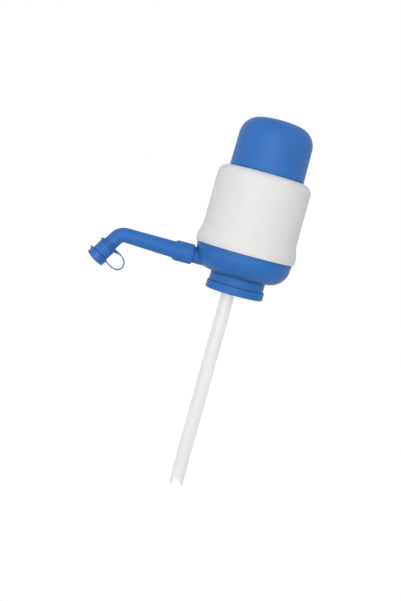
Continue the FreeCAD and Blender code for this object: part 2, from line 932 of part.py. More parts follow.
def return_spring():
    """A coil of half turns, each in a plane tilted so that it climbs and runs smoothly into the next"""
    body = new_body("return_spring")
    wire = size.spring_wire / 2
    low = size.dome_top + size.spring_play + wire
    high = head_bottom - size.spring_play - wire
    pitch = (high - low) / size.spring_turns
    climb = pitch / 4
    tilt = angle_of(climb / size.spring_radius)
    reach = root(size.spring_radius * size.spring_radius + climb * climb)
    halves = []
    for name, side in (("first_half", 1), ("second_half", -1)):
        middle = low + climb * (2 - side)
        sketch = new_sketch(body, f"{name}_outline", "XZ_Plane", up=middle, turn=tilt * -side)
        circle(sketch, reach * side, 0.0, wire)
        half = add_feature(body, "Revolution", name, sketch)
        half.ReferenceAxis = (sketch, ["V_Axis"])
        half.Angle = 180
        doc.recompute()
        halves.append(half)
    column_of(body, "coil", halves, pitch, size.spring_turns)


# Shell


def outer_shell():
    body = new_body("outer_shell")
    shoulder_up = size.shell_top - size.shell_shoulder
    inside = size.shell_radius - size.shell_wall
    inner_shoulder = size.shell_shoulder - size.shell_wall
    lip_across = size.mouth_radius + size.mouth_collar_wall
    lip_side = lip_across - (size.shell_radius - size.shell_shoulder)
    lip_up = shoulder_up + root(inner_shoulder * inner_shoulder - lip_side * lip_side)
    flare = size.shell_flare - size.shell_radius
    rise = size.flare_high - size.flare_low
    flare_arc = (flare * flare + rise * rise) / (flare * 4)
    turned(
        body,
        "shell_form",
        [
            (size.shell_seat, bowl_top),
            (size.foot_radius, bowl_top),
            (size.shell_flare, size.flare_low, size.foot_round, 1),
            (size.shell_radius + flare / 2, size.flare_low + rise / 2, flare_arc, 1),
            (size.shell_radius, size.flare_high, flare_arc, -1),
            (size.shell_radius, shoulder_up),
            (size.mouth_radius, size.shell_top, size.shell_shoulder, 1),
            (size.mouth_radius, size.shell_top - size.mouth_collar_height),
            (lip_across, size.shell_top - size.mouth_collar_height),
            (lip_across, lip_up),
            (inside, shoulder_up, inner_shoulder, -1),
            (inside, size.flare_high),
            (size.shell_seat, bowl_top + size.shell_seat_height),
            (size.shell_seat, snap_middle + size.snap_length / 2),
            (size.shell_seat + size.snap_height, snap_middle),
            (size.shell_seat, snap_middle - size.snap_length / 2),
        ],
    )
    rounded(body, "mouth_rounding", size.mouth_round, size.mouth_radius, size.shell_top)


# Press cap


def dome_points(inset):
    """Where side wall and corner arc meet, and corner arc and crown, for a face inset from the outer one"""
    wall = size.cap_radius - size.cap_draft
    crown_low = size.cap_top - size.cap_crown
    reach = size.cap_crown - size.cap_corner
    across = wall - size.cap_corner
    rise = root(reach * reach - across * across)
    share = (size.cap_crown - inset) / reach
    return (wall - inset, crown_low + rise), (across * share, crown_low + rise * share)


def press_cap():
    """The dome that the hand pushes, with a flange that stays in the shell and a post to the bellows"""
    body = new_body("press_cap")
    corner, crown = dome_points(0.0)
    inner_corner_point, inner_crown = dome_points(size.cap_wall)
    crown_arc = size.cap_crown - size.cap_wall
    corner_arc = size.cap_corner - size.cap_wall
    turned(
        body,
        "cap_form",
        [
            (size.cap_radius - size.cap_wall, cap_bottom),
            (size.cap_flange, cap_bottom),
            (size.cap_flange, cap_flange_top),
            (size.cap_radius, cap_flange_top),
            corner,
            (*crown, size.cap_corner, 1),
            (size.crown_flat, size.cap_top, size.cap_crown, 1),
            (0.0, size.cap_top),
            (0.0, size.cap_top - size.cap_wall),
            (size.crown_flat, size.cap_top - size.cap_wall),
            (*inner_crown, crown_arc, -1),
            (*inner_corner_point, corner_arc, -1),
        ],
    )
    turned(
        body,
        "post",
        box(size.post_radius - size.post_wall, head_top, size.post_radius, size.cap_top),
    )
    rib = block(
        body,
        "rib",
        "XZ_Plane",
        box(
            size.post_radius - size.post_wall / 2,
            size.cap_top - size.cap_wall - size.rib_depth,
            size.rib_reach,
            size.cap_top,
        ),
        size.rib_thickness,
        both=True,
    )
    ring_of(body, "ribs", rib, size.ribs)
    clear = size.cap_radius + size.cap_wall
    turned(
        body,
        "crown_trim",
        [
            (*corner, size.cap_corner, -1),
            (clear, corner[1]),
            (clear, size.cap_top + size.cap_wall),
            (0.0, size.cap_top + size.cap_wall),
            (0.0, size.cap_top),
            (size.crown_flat, size.cap_top),
            (*crown, size.cap_crown, -1),
        ],
        cut=True,
    )
    slot = box(
        -size.post_slot / 2,
        head_top - size.post_slot_height,
        size.post_slot / 2,
        head_top + size.post_slot_height,
    )
    through = size.post_radius * 2 + size.post_wall
    for plane in ("XZ_Plane", "YZ_Plane"):
        block(body, f"post_slot_{plane[:2]}", plane, slot, through, cut=True, both=True)


# Spout, with its socket, elbow and nozzle


def spout():
    body = new_body("spout")
    socket_end = -size.socket_start
    shoulder_end = -pipe_start - size.socket_shoulder
    stop = -size.boss_reach - size.boss_end_gap
    turn = size.tip_angle + size.pipe_rise
    tangent = size.bend_radius * sine(turn) / (1 + cosine(turn))
    straight_end = tangent - size.pipe_length
    spine_start = pipe_start - size.boss_reach
    pipe = {"across": -pipe_start, "up": size.outlet_height, "turn": -size.pipe_rise}
    leg = {"across": elbow_across, "up": elbow_up, "turn": leg_turn}
    start_across = -pipe_start + spine_start * cosine(size.pipe_rise)
    start_up = size.outlet_height - spine_start * sine(size.pipe_rise)
    square = {"up": start_up, "out": start_across, "turn": size.pipe_rise, "about": (1, 0, 0)}
    turned(
        body,
        "socket",
        [
            (shoulder_end, 0.0),
            (socket_end, 0.0),
            (socket_end, size.spout_socket - size.socket_round),
            (socket_end - size.socket_round, size.spout_socket, size.socket_round, 1),
            (-pipe_start, size.spout_socket),
            (shoulder_end, size.pipe_root - size.nozzle_edge),
        ],
        about="H_Axis",
        up=size.outlet_height,
    )
    turned(
        body,
        "taper",
        [
            (straight_end, 0.0),
            (0.0, 0.0),
            (0.0, size.pipe_root),
            (straight_end, size.pipe_radius),
        ],
        about="H_Axis",
        **pipe,
    )
    spine = new_sketch(body, "spine", "XZ_Plane", **pipe)
    chain(
        spine,
        [
            (spine_start, 0.0),
            (straight_end, 0.0),
            (
                -size.pipe_length - tangent * cosine(turn),
                -tangent * sine(turn),
                size.bend_radius,
                1,
            ),
            (
                -size.pipe_length - size.nozzle_tip * cosine(turn),
                -size.nozzle_tip * sine(turn),
            ),
        ],
        False,
    )
    section = new_sketch(body, "pipe_section", "YZ_Plane", **square)
    circle(section, 0.0, 0.0, size.pipe_radius)
    swept(body, "pipe", section, spine)
    edge = size.nozzle_edge
    turned(
        body,
        "nozzle",
        [
            (0.0, -size.nozzle_tip),
            (size.nozzle_spigot - edge, -size.nozzle_tip),
            (size.nozzle_spigot, edge - size.nozzle_tip),
            (size.nozzle_spigot, -size.nozzle_end),
            (size.nozzle_radius, -size.nozzle_end),
            (size.nozzle_radius, -size.nozzle_start - edge),
            (size.nozzle_radius - edge, -size.nozzle_start, edge, 1),
            (0.0, -size.nozzle_start),
        ],
        **leg,
    )
    turned(
        body,
        "socket_bore",
        box(stop, 0.0, socket_end + size.socket_round, spout_bore),
        cut=True,
        about="H_Axis",
        up=size.outlet_height,
    )
    bore = new_sketch(body, "bore_section", "YZ_Plane", **square)
    circle(bore, 0.0, 0.0, size.water_bore)
    swept(body, "water_bore", bore, spine, cut=True)


# Strap ring, strap and cap


def pull_tab(body, name, radius, top, height, reach, tip):
    """A small pointed tab on the side away from the strap, curved like a thorn"""
    foot = size.tab_root - radius
    block(
        body,
        name,
        "XZ_Plane",
        [
            (foot, top - height),
            (foot, top),
            (-radius - reach, top - tip, size.tab_curve, -1),
        ],
        size.tab_width,
        both=True,
    )


def strap_ring():
    body = new_body("strap_ring")
    bore = size.pipe_radius + size.strap_ring_gap
    high = -size.strap_ring_start
    turned(body, "ring_form", box(bore, high - size.strap_ring_width, strap_ring_radius, high))
    pull_tab(
        body,
        "ring_tab_form",
        strap_ring_radius,
        high - size.tab_inset,
        size.ring_tab_height,
        size.ring_tab,
        size.ring_tab_tip,
    )
    on_nozzle(body)


def cap_strap():
    """The thin loop that keeps the cap on the spout, with a thicker root at the ring"""
    body = new_body("cap_strap")
    ring_up = -strap_start
    cap_up = -cap_flange_middle
    bend = (cap_flange_middle - strap_start) / 2
    half = size.strap_thickness / 2
    wedge = size.strap_wedge / 2
    outer = bend + half
    inner = bend - half
    reach = size.strap_reach
    start = strap_ring_radius - size.strap_root
    wedge_end = start + size.strap_wedge_length
    end = size.spout_cap_flange - size.strap_root
    block(
        body,
        "strap_form",
        "XZ_Plane",
        [
            (end, cap_up - half),
            (reach, cap_up - half),
            (reach + outer, ring_up - bend, outer, 1),
            (reach, ring_up + half, outer, 1),
            (wedge_end, ring_up + half),
            (start, ring_up + wedge - half),
            (start, ring_up - wedge - half),
            (wedge_end, ring_up - half),
            (reach, ring_up - half),
            (reach + inner, ring_up - bend, inner, -1),
            (reach, cap_up + half, inner, -1),
            (end, cap_up + half),
        ],
        size.strap_width,
        both=True,
    )
    turned(
        body,
        "ring_seat",
        box(0.0, ring_up - size.strap_wedge, strap_ring_radius, ring_up + size.strap_wedge),
        cut=True,
    )
    turned(
        body,
        "cap_seat",
        box(0.0, cap_up - size.strap_thickness, size.spout_cap_flange, cap_up + size.strap_thickness),
        cut=True,
    )
    on_nozzle(body)


def spout_cap():
    """Covers the nozzle's end, with a hollow plug that fits its bore"""
    body = new_body("spout_cap")
    start = -size.spout_cap_start
    end = -size.spout_cap_end
    flange_low = start - size.spout_cap_flange_height
    inside = size.nozzle_spigot + size.spout_cap_gap
    floor = end + size.spout_cap_floor
    plug_inside = size.plug_radius - size.plug_wall
    turned(
        body,
        "cap_shell",
        [
            (0.0, end),
            (size.spout_cap_radius - size.spout_cap_round, end),
            (size.spout_cap_radius, end + size.spout_cap_round, size.spout_cap_round, 1),
            (size.spout_cap_radius, flange_low),
            (size.spout_cap_flange, flange_low),
            (size.spout_cap_flange, start),
            (inside, start),
            (inside, floor),
            (size.plug_radius, floor),
            (size.plug_radius, floor + size.plug_length),
            (plug_inside, floor + size.plug_length),
            (plug_inside, floor),
            (0.0, floor),
        ],
    )
    pull_tab(
        body,
        "cap_tab_form",
        size.spout_cap_flange,
        start,
        size.cap_tab_height,
        size.cap_tab,
        size.cap_tab_tip,
    )
    on_nozzle(body)


neck_collar()
neck_gasket()
base_bowl()
outlet_seal()
suction_tube()
bellows()
bellows_clamp_ring()
clamp_screws()
bellows_head()
return_spring()
umbrella_valve("intake_valve", head_bottom, size.head_plate)
umbrella_valve("discharge_valve", plate_bottom, size.dome_plate, across=size.valve_place)
outer_shell()
press_cap()
spout()
strap_ring()
cap_strap()
spout_cap()
doc.recompute()

# Every object must have been computed, and every sub-part must be sound, before anything is written

for thing in doc.Objects:
    if "Invalid" in thing.State or "Error" in thing.State:
        raise RuntimeError(f"{thing.Name} failed: {thing.State}")
for part in parts:
    if part.Shape.isNull() or not part.Shape.isValid():
        raise RuntimeError(f"{part.Label} has no sound shape")

os.makedirs("parts", exist_ok=True)
for part in parts:
    part.Shape.exportStep(f"parts/{part.Label}.step")
    print(f"{part.Label}: {len(part.Shape.Solids)} solids, {part.Shape.Volume:.1f} mm3")
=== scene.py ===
import json
import math

import bmesh
import bpy
from mathutils import Matrix, Vector


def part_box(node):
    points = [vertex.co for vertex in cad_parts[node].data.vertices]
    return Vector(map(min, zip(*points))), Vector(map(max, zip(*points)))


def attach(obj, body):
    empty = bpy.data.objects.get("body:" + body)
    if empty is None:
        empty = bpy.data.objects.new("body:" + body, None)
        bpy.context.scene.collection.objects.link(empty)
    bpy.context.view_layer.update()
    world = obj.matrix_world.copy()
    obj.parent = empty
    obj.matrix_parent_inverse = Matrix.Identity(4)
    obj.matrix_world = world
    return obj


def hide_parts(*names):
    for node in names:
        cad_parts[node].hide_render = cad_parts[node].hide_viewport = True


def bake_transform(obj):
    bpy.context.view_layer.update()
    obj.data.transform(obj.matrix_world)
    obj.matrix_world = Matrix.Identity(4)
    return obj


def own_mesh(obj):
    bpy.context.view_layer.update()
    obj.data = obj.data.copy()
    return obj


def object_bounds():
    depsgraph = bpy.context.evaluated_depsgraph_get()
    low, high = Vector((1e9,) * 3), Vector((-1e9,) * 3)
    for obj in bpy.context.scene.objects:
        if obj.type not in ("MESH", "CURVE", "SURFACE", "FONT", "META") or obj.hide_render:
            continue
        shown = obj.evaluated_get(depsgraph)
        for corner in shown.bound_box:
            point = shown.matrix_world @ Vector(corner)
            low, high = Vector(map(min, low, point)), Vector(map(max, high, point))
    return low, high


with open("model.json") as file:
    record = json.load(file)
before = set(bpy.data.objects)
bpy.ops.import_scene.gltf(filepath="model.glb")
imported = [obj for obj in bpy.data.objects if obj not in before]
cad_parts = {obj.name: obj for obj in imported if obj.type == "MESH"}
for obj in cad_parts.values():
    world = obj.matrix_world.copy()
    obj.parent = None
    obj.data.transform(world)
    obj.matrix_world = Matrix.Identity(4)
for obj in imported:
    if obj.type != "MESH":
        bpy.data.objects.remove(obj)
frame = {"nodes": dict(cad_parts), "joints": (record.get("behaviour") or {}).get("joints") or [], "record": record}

# Water jug hand pump: camera, light, finishes and soft pieces on the CAD frame.
# Lengths are in metres, apart from places on the nozzle, which are in millimetres.
# +Z runs up the pump's axis, and the spout points along -X.

MM = 0.001
UP = Vector((0, 0, 1))
ORIGIN = Vector((0, 0, 0))
SIDE = Vector((1, 0, 0))
cad_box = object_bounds()

# Camera, as in the photograph: level, a little to the spout's side, and rolled

VIEW_TURN = math.radians(-12.0)
VIEW_ROLL = math.radians(15.5)
VIEW_DISTANCE = 1.088
VIEW_HEIGHT = 0.070
VIEW_LENS = 60.6
VIEW_SHIFT_X = -0.0907
VIEW_SHIFT_Y = -0.1398


def add_camera():
    look = Vector((-math.sin(VIEW_TURN), math.cos(VIEW_TURN), 0))
    side = Vector((math.cos(VIEW_TURN), math.sin(VIEW_TURN), 0))
    right = side * math.cos(VIEW_ROLL) + UP * math.sin(VIEW_ROLL)
    above = UP * math.cos(VIEW_ROLL) - side * math.sin(VIEW_ROLL)
    data = bpy.data.cameras.new("camera")
    data.lens = VIEW_LENS
    data.shift_x = VIEW_SHIFT_X
    data.shift_y = VIEW_SHIFT_Y
    camera = bpy.data.objects.new("camera", data)
    bpy.context.scene.collection.objects.link(camera)
    place = Matrix((right, above, -look)).transposed().to_4x4()
    place.translation = UP * VIEW_HEIGHT - look * VIEW_DISTANCE
    camera.matrix_world = place
    bpy.context.scene.camera = camera


add_camera()

# Node helpers

NOISE_LOW = 0.3
NOISE_HIGH = 0.7
RAMP_START = 0.35
RAMP_END = 0.65
BEVEL_SAMPLES = 4


def feed(tree, socket, value):
    """Links a socket's value to this input, or sets the input to a plain value"""
    if isinstance(value, bpy.types.NodeSocket):
        tree.links.new(value, socket)
    else:
        socket.default_value = value


def add_node(tree, kind, settings=None, **inputs):
    """A node with its settings and its inputs, where _ stands for a space"""
    node = tree.nodes.new(f"ShaderNode{kind}")
    for name, value in (settings or {}).items():
        setattr(node, name, value)
    for name, value in inputs.items():
        feed(tree, node.inputs[name.replace("_", " ")], value)
    return node


def new_material(name):
    """An empty material, its node tree, and the shader that its output shows"""
    material = bpy.data.materials.new(name)
    material.use_nodes = True
    tree = material.node_tree
    tree.nodes.clear()
    shader = add_node(tree, "BsdfPrincipled")
    add_node(tree, "OutputMaterial", Surface=shader.outputs["BSDF"])
    return material, tree, shader


def noise(tree, size, detail, stretch=(1, 1, 1)):
    """Noise over the object's own place, with features of about this size"""
    place = add_node(tree, "TexCoord").outputs["Object"]
    mapping = add_node(tree, "Mapping", Vector=place, Scale=stretch)
    texture = add_node(tree, "TexNoise", Vector=mapping.outputs["Vector"], Scale=1 / size, Detail=detail)
    return texture.outputs["Fac"]


def spread(tree, value, low, high, start=NOISE_LOW, end=NOISE_HIGH):
    """Maps a value that runs from start to end onto the range from low to high"""
    inputs = {"Value": value, "From_Min": start, "From_Max": end, "To_Min": low, "To_Max": high}
    return add_node(tree, "MapRange", **inputs).outputs["Result"]


def two_tones(tree, value, dark, light):
    """A colour that runs from dark to light with the value"""
    ramp = add_node(tree, "ValToRGB", Fac=value)
    first, last = ramp.color_ramp.elements
    first.position = RAMP_START
    last.position = RAMP_END
    first.color = (*dark, 1)
    last.color = (*light, 1)
    return ramp.outputs["Color"]


def maths(tree, operation, first, second):
    """A sum with two values"""
    node = add_node(tree, "Math", {"operation": operation})
    feed(tree, node.inputs[0], first)
    feed(tree, node.inputs[1], second)
    return node.outputs["Value"]


def mixed(tree, share, first, second):
    """A mix of two shaders, which is all of the second where the share is 1"""
    mix = add_node(tree, "MixShader", Fac=share)
    tree.links.new(first, mix.inputs[1])
    tree.links.new(second, mix.inputs[2])
    return mix.outputs["Shader"]


def bumped(tree, shader, height, depth, edge):
    """Fine relief of this depth, over edges that look rounded to this radius"""
    bevel = add_node(tree, "Bevel", {"samples": BEVEL_SAMPLES}, Radius=edge)
    normal = bevel.outputs["Normal"]
    bump = add_node(tree, "Bump", Height=height, Distance=depth, Strength=1.0, Normal=normal)
    tree.links.new(bump.outputs["Normal"], shader.inputs["Normal"])


def scaled(colour, factor):
    return tuple(part * factor for part in colour)


# Moulded plastic: slow flow marks in its colour, a fine satin grain, uneven gloss and painted shade in creases

# Painted shade: ambient occlusion darkens the plastic's colour in creases and at parting lines
CREASE_SHADE_REACH = 4 * MM
CREASE_SHADE_SAMPLES = 8
CREASE_SHADE_SHUT = 0.35
CREASE_SHADE_OPEN = 0.9
FLOW_SIZE = 18 * MM
FLOW_STRETCH = (1, 1, 0.45)
GLOSS_SIZE = 6 * MM
GLOSS_BELOW = 0.05
GLOSS_ABOVE = 0.06
GRAIN_SIZE = 0.45 * MM
GRAIN_DEPTH = 0.02 * MM
PLASTIC_EDGE = 0.25 * MM
PLASTIC_IOR = 1.49
PLASTIC_SHINE = 0.36
SCATTER_SHARE = 0.25
SCATTER_RADIUS = (1.0, 0.95, 0.9)


def painted_crease_shade(tree, tone, share):
    """The tone with painted shade: darker by up to this share where ambient occlusion finds narrow creases and
    parting lines
    """
    air = add_node(tree, "AmbientOcclusion", {"samples": CREASE_SHADE_SAMPLES}, Distance=CREASE_SHADE_REACH)
    light = spread(tree, air.outputs["AO"], 1 - share, 1.0, CREASE_SHADE_SHUT, CREASE_SHADE_OPEN)
    grey = add_node(tree, "CombineColor", Red=light, Green=light, Blue=light).outputs["Color"]
    mix = add_node(tree, "Mix", {"data_type": "RGBA", "blend_type": "MULTIPLY"})
    factor, first, second = (mix.inputs[number] for number in (0, 6, 7))
    factor.default_value = 1.0
    tree.links.new(tone, first)
    tree.links.new(grey, second)
    return mix.outputs[2]


def moulded_plastic(name, colour, roughness, mottle=0.05, crease_shade=0.5, depth=0.0):
    """Plastic with this much mottling and painted shade in creases, milky to this depth"""
    material, tree, shader = new_material(name)
    flow = noise(tree, FLOW_SIZE, 4.0, FLOW_STRETCH)
    tone = two_tones(tree, flow, scaled(colour, 1 - mottle), scaled(colour, 1 + mottle))
    # Painted shade darkens the mottled tone in creases before it becomes the base colour
    tree.links.new(painted_crease_shade(tree, tone, crease_shade), shader.inputs["Base Color"])
    patches = noise(tree, GLOSS_SIZE, 5.0)
    gloss = spread(tree, patches, roughness - GLOSS_BELOW, roughness + GLOSS_ABOVE)
    tree.links.new(gloss, shader.inputs["Roughness"])
    bumped(tree, shader, noise(tree, GRAIN_SIZE, 2.0), GRAIN_DEPTH, PLASTIC_EDGE)
    shader.inputs["IOR"].default_value = PLASTIC_IOR
    shader.inputs["Specular IOR Level"].default_value = PLASTIC_SHINE
    if depth:
        shader.inputs["Subsurface Weight"].default_value = SCATTER_SHARE
        shader.inputs["Subsurface Scale"].default_value = depth
        shader.inputs["Subsurface Radius"].default_value = SCATTER_RADIUS
    return material


# Extruded clear vinyl: slightly milky, with fine drawn lines along its length

LINE_SIZE = 2 * MM
LINE_STRETCH = (1, 1, 0.02)
LINE_DARK = 0.975
LINE_LIGHT = 1.02
VINYL_ROUGHNESS = 0.3
VINYL_IOR = 1.15
VINYL_CLEARNESS = 0.8
VINYL_COAT = 0.7
VINYL_COAT_ROUGHNESS = 0.16


def clear_tube_plastic(name, colour):
    material, tree, shader = new_material(name)
    lines = noise(tree, LINE_SIZE, 2.0, LINE_STRETCH)
    tone = two_tones(tree, lines, scaled(colour, LINE_DARK), scaled(colour, LINE_LIGHT))
    tree.links.new(tone, shader.inputs["Base Color"])
    shader.inputs["Roughness"].default_value = VINYL_ROUGHNESS
    shader.inputs["IOR"].default_value = VINYL_IOR
    shader.inputs["Transmission Weight"].default_value = VINYL_CLEARNESS
    shader.inputs["Coat Weight"].default_value = VINYL_COAT
    shader.inputs["Coat Roughness"].default_value = VINYL_COAT_ROUGHNESS
    return material


# Moulded rubber: matt, with a powdery bloom and a soft skin

BLOOM_SIZE = 7 * MM
BLOOM_MOTTLE = 0.08
BLOOM_GLOSS = 0.08
SKIN_SIZE = 0.3 * MM
SKIN_DEPTH = 0.03 * MM
RUBBER_EDGE = 0.15 * MM
RUBBER_SHEEN = 0.15


def soft_rubber(name, colour, roughness, clearness=0.0):
    material, tree, shader = new_material(name)
    bloom = noise(tree, BLOOM_SIZE, 6.0)
    tone = two_tones(tree, bloom, scaled(colour, 1 - BLOOM_MOTTLE), scaled(colour, 1 + BLOOM_MOTTLE))
    tree.links.new(tone, shader.inputs["Base Color"])
    gloss = spread(tree, bloom, roughness - BLOOM_GLOSS, roughness + BLOOM_GLOSS)
    tree.links.new(gloss, shader.inputs["Roughness"])
    bumped(tree, shader, noise(tree, SKIN_SIZE, 3.0), SKIN_DEPTH, RUBBER_EDGE)
    shader.inputs["Sheen Weight"].default_value = RUBBER_SHEEN
    shader.inputs["Transmission Weight"].default_value = clearness
    return material


# Bright wire and screw steel, with fine drawing marks

MARK_SIZE = 0.4 * MM
MARK_STRETCH = (1, 1, 6)
MARK_DARK = 0.85
MARK_LIGHT = 1.1
MARK_DEPTH = 0.01 * MM
STEEL_SMOOTHEST = 0.22
STEEL_ROUGHEST = 0.38
STEEL_EDGE = 0.1 * MM


def drawn_steel(name, colour):
    material, tree, shader = new_material(name)
    marks = noise(tree, MARK_SIZE, 4.0, MARK_STRETCH)
    tone = two_tones(tree, marks, scaled(colour, MARK_DARK), scaled(colour, MARK_LIGHT))
    tree.links.new(tone, shader.inputs["Base Color"])
    gloss = spread(tree, marks, STEEL_SMOOTHEST, STEEL_ROUGHEST)
    tree.links.new(gloss, shader.inputs["Roughness"])
    bumped(tree, shader, marks, MARK_DEPTH, STEEL_EDGE)
    shader.inputs["Metallic"].default_value = 1.0
    return material


# One finish for each slot of the record

BLUE = (0.02, 0.15, 0.486)
SOFT_BLUE = (0.019, 0.143, 0.466)
WHITE = (0.78, 0.782, 0.785)
INNER_WHITE = (0.7, 0.7, 0.7)
MILKY = (0.96, 0.96, 0.96)
BELLOWS_WHITE = (0.62, 0.63, 0.62)
SILICONE = (0.55, 0.55, 0.54)
BLACK = (0.03, 0.03, 0.03)
STEEL = (0.6, 0.6, 0.61)
SHELL_DEPTH = 1.5 * MM

# The crease value of each plastic finish is the most that painted shade darkens it in its creases
finishes = {
    "blue_plastic": moulded_plastic("blue_plastic", BLUE, roughness=0.5, crease_shade=0.6),
    "blue_soft_plastic": moulded_plastic("blue_soft_plastic", SOFT_BLUE, roughness=0.38, crease_shade=0.12),
    "white_plastic": moulded_plastic(
        "white_plastic", WHITE, roughness=0.5, mottle=0.012, crease_shade=0.15, depth=SHELL_DEPTH
    ),
    "clear_plastic": clear_tube_plastic("clear_plastic", MILKY),
    "bellows_rubber": soft_rubber("bellows_rubber", BELLOWS_WHITE, roughness=0.6),
    "inner_plastic": moulded_plastic("inner_plastic", INNER_WHITE, roughness=0.5, mottle=0.02, crease_shade=0.2),
    "steel": drawn_steel("steel", STEEL),
    "valve_rubber": soft_rubber("valve_rubber", SILICONE, roughness=0.4, clearness=0.25),
    "seal_rubber": soft_rubber("seal_rubber", BLACK, roughness=0.5),
}
slot_of = {entry["node"]: entry["material_slot"] for entry in frame["record"]["subparts"]}


def dress_nodes():
    """Every carried-over CAD node gets the finish of its slot"""
    for node, thing in frame["nodes"].items():
        for place in thing.material_slots:
            place.material = finishes[slot_of[node]]


dress_nodes()

# Mesh helpers

SHARP_ANGLE = math.radians(50)


def skin(name, rings, closed, slot, body=None):
    """A mesh over rings of points, joined end to end or closed off with flat ends"""
    form = bmesh.new()
    rows = [[form.verts.new(point) for point in ring] for ring in rings]
    count = len(rows[0])
    for number in range(len(rows) if closed else len(rows) - 1):
        first = rows[number]
        second = rows[(number + 1) % len(rows)]
        for corner in range(count):
            after = (corner + 1) % count
            form.faces.new((first[corner], first[after], second[after], second[corner]))
    if not closed:
        form.faces.new(reversed(rows[0]))
        form.faces.new(rows[-1])
    bmesh.ops.recalc_face_normals(form, faces=form.faces)
    mesh = bpy.data.meshes.new(name)
    form.to_mesh(mesh)
    form.free()
    mesh.shade_smooth()
    mesh.set_sharp_from_angle(angle=SHARP_ANGLE)
    mesh.materials.append(finishes[slot])
    piece = bpy.data.objects.new(name, mesh)
    bpy.context.scene.collection.objects.link(piece)
    if body:
        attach(piece, body)
    return piece


def turned_rings(outline, steps, origin, axis, side):
    """Rings of an outline of (radius, height) points, turned about an axis through origin"""
    other = axis.cross(side)
    rings = []
    for step in range(steps):
        angle = math.tau * step / steps
        out = side * math.cos(angle) + other * math.sin(angle)
        rings.append([origin + out * radius + axis * height for radius, height in outline])
    return rings


def smooth_path(points, steps):
    """Points on a curve that runs smoothly through the given ones, with steps between each two"""
    path = []
    last = len(points) - 1
    for number in range(last):
        before = points[max(number - 1, 0)]
        start = points[number]
        end = points[number + 1]
        after = points[min(number + 2, last)]
        for step in range(steps):
            t = step / steps
            pull = (end - before) * t + (before * 2 - start * 5 + end * 4 - after) * t * t
            pull += (start * 3 - before - end * 3 + after) * t * t * t
            path.append(start + pull / 2)
    path.append(points[-1])
    return path


# The nozzle's line: from the elbow's corner along the leg, which the spout's cap is pulled along.
# Places on it are millimetres along the leg, and millimetres out from its axis.

PIPE_ROOT = Vector((-72.6, 0, 13.25)) * MM
PIPE_LENGTH = 61 * MM
PIPE_RISE = math.radians(1.6)
NOZZLE_STEPS = 72

joints = {joint["name"]: joint for joint in frame["joints"]}
elbow = PIPE_ROOT + Vector((-math.cos(PIPE_RISE), 0, math.sin(PIPE_RISE))) * PIPE_LENGTH
leg = Vector(joints["spout_cap_pull"]["axis"]).normalized()
strap_side = Vector((-leg.z, 0, leg.x))


def on_nozzle(out, along):
    """A point on the strap's side of the nozzle"""
    return elbow + strap_side * out * MM + leg * along * MM


# Cap strap: a thin band that leaves the ring as a thick root, bows out and comes back to the cap.
# Its path is a list of places out from the nozzle and along it.

STRAP_WIDTH = 3.4 * MM
STRAP_THICKNESS = 1.25 * MM
STRAP_ROOT = 4.2 * MM
STRAP_ROOT_LENGTH = 10 * MM
STRAP_ROUNDING = 0.3 * STRAP_THICKNESS
STRAP_CORNER_STEPS = 3
STRAP_STEPS = 8
STRAP_PATH = [(9.0, 16.9), (12.0, 16.2), (16.4, 15.5), (21.0, 16.3), (25.0, 18.9), (27.0, 23.4)]
STRAP_PATH += [(25.8, 27.6), (21.7, 30.3), (16.5, 31.2), (10.6, 30.95)]


def strap_outline(thickness):
    """A flat band's section with rounded corners, across and through"""
    half_width = STRAP_WIDTH / 2 - STRAP_ROUNDING
    half_depth = thickness / 2 - STRAP_ROUNDING
    outline = []
    for turn, (across, through) in enumerate(((1, 1), (-1, 1), (-1, -1), (1, -1))):
        for step in range(STRAP_CORNER_STEPS + 1):
            angle = math.radians(90 * (turn + step / STRAP_CORNER_STEPS))
            width = across * half_width + STRAP_ROUNDING * math.cos(angle)
            depth = through * half_depth + STRAP_ROUNDING * math.sin(angle)
            outline.append((width, depth))
    return outline


def add_strap():
    path = smooth_path([on_nozzle(out, along) for out, along in STRAP_PATH], STRAP_STEPS)
    across = Vector((0, 1, 0))
    rings = []
    travelled = 0.0
    for number, point in enumerate(path):
        before = path[max(number - 1, 0)]
        after = path[min(number + 1, len(path) - 1)]
        travelled += (point - before).length
        through = (after - before).normalized().cross(across)
        share = min(travelled / STRAP_ROOT_LENGTH, 1.0)
        ease = (1 - share) * (1 - share)
        thickness = STRAP_THICKNESS + (STRAP_ROOT - STRAP_THICKNESS) * ease
        outline = strap_outline(thickness)
        rings.append([point + across * width + through * depth for width, depth in outline])
    strap = skin("cap_strap_band", rings, False, "blue_soft_plastic")
    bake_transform(strap)
    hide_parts("cap_strap")


add_strap()

# Fine ribs round the strap ring, and the lips at the nozzle's parting lines.
# Each has its middle along the leg, its radius, half its width and its height in millimetres.

NOZZLE_RIBS = {
    "strap_ring_rib_1": (15.7, 9.3, 0.36, 0.4, "blue_soft_plastic"),
    "strap_ring_rib_2": (17.05, 9.3, 0.36, 0.4, "blue_soft_plastic"),
    "strap_ring_rib_3": (18.4, 9.3, 0.36, 0.4, "blue_soft_plastic"),
    "nozzle_lip_1": (19.15, 8.9, 0.3, 0.4, "blue_plastic"),
    "nozzle_lip_2": (29.72, 9.1, 0.14, 0.35, "blue_plastic"),
}
RIB_SINK = 0.2
RIB_STEPS = 6


def add_nozzle_ribs():
    for name, (station, radius, half_width, height, slot) in NOZZLE_RIBS.items():
        outline = [(radius * MM, (station - half_width) * MM)]
        for step in range(RIB_STEPS + 1):
            angle = math.pi * step / RIB_STEPS
            out = radius + height * math.sin(angle)
            along = station - half_width * math.cos(angle)
            outline.append((out * MM, along * MM))
        outline.append(((radius - RIB_SINK) * MM, station * MM))
        rings = turned_rings(outline, NOZZLE_STEPS, elbow, leg, strap_side)
        skin(name, rings, True, slot, "spout")


add_nozzle_ribs()

# Bulging end of the spout's cap, in millimetres as above

CROWN_RADIUS = 10.2
CROWN_START = 36.5
CROWN_MIDDLE = 38.9
CROWN_DROP = 1.8
CROWN_CORE = 0.04
CROWN_STEPS = 16


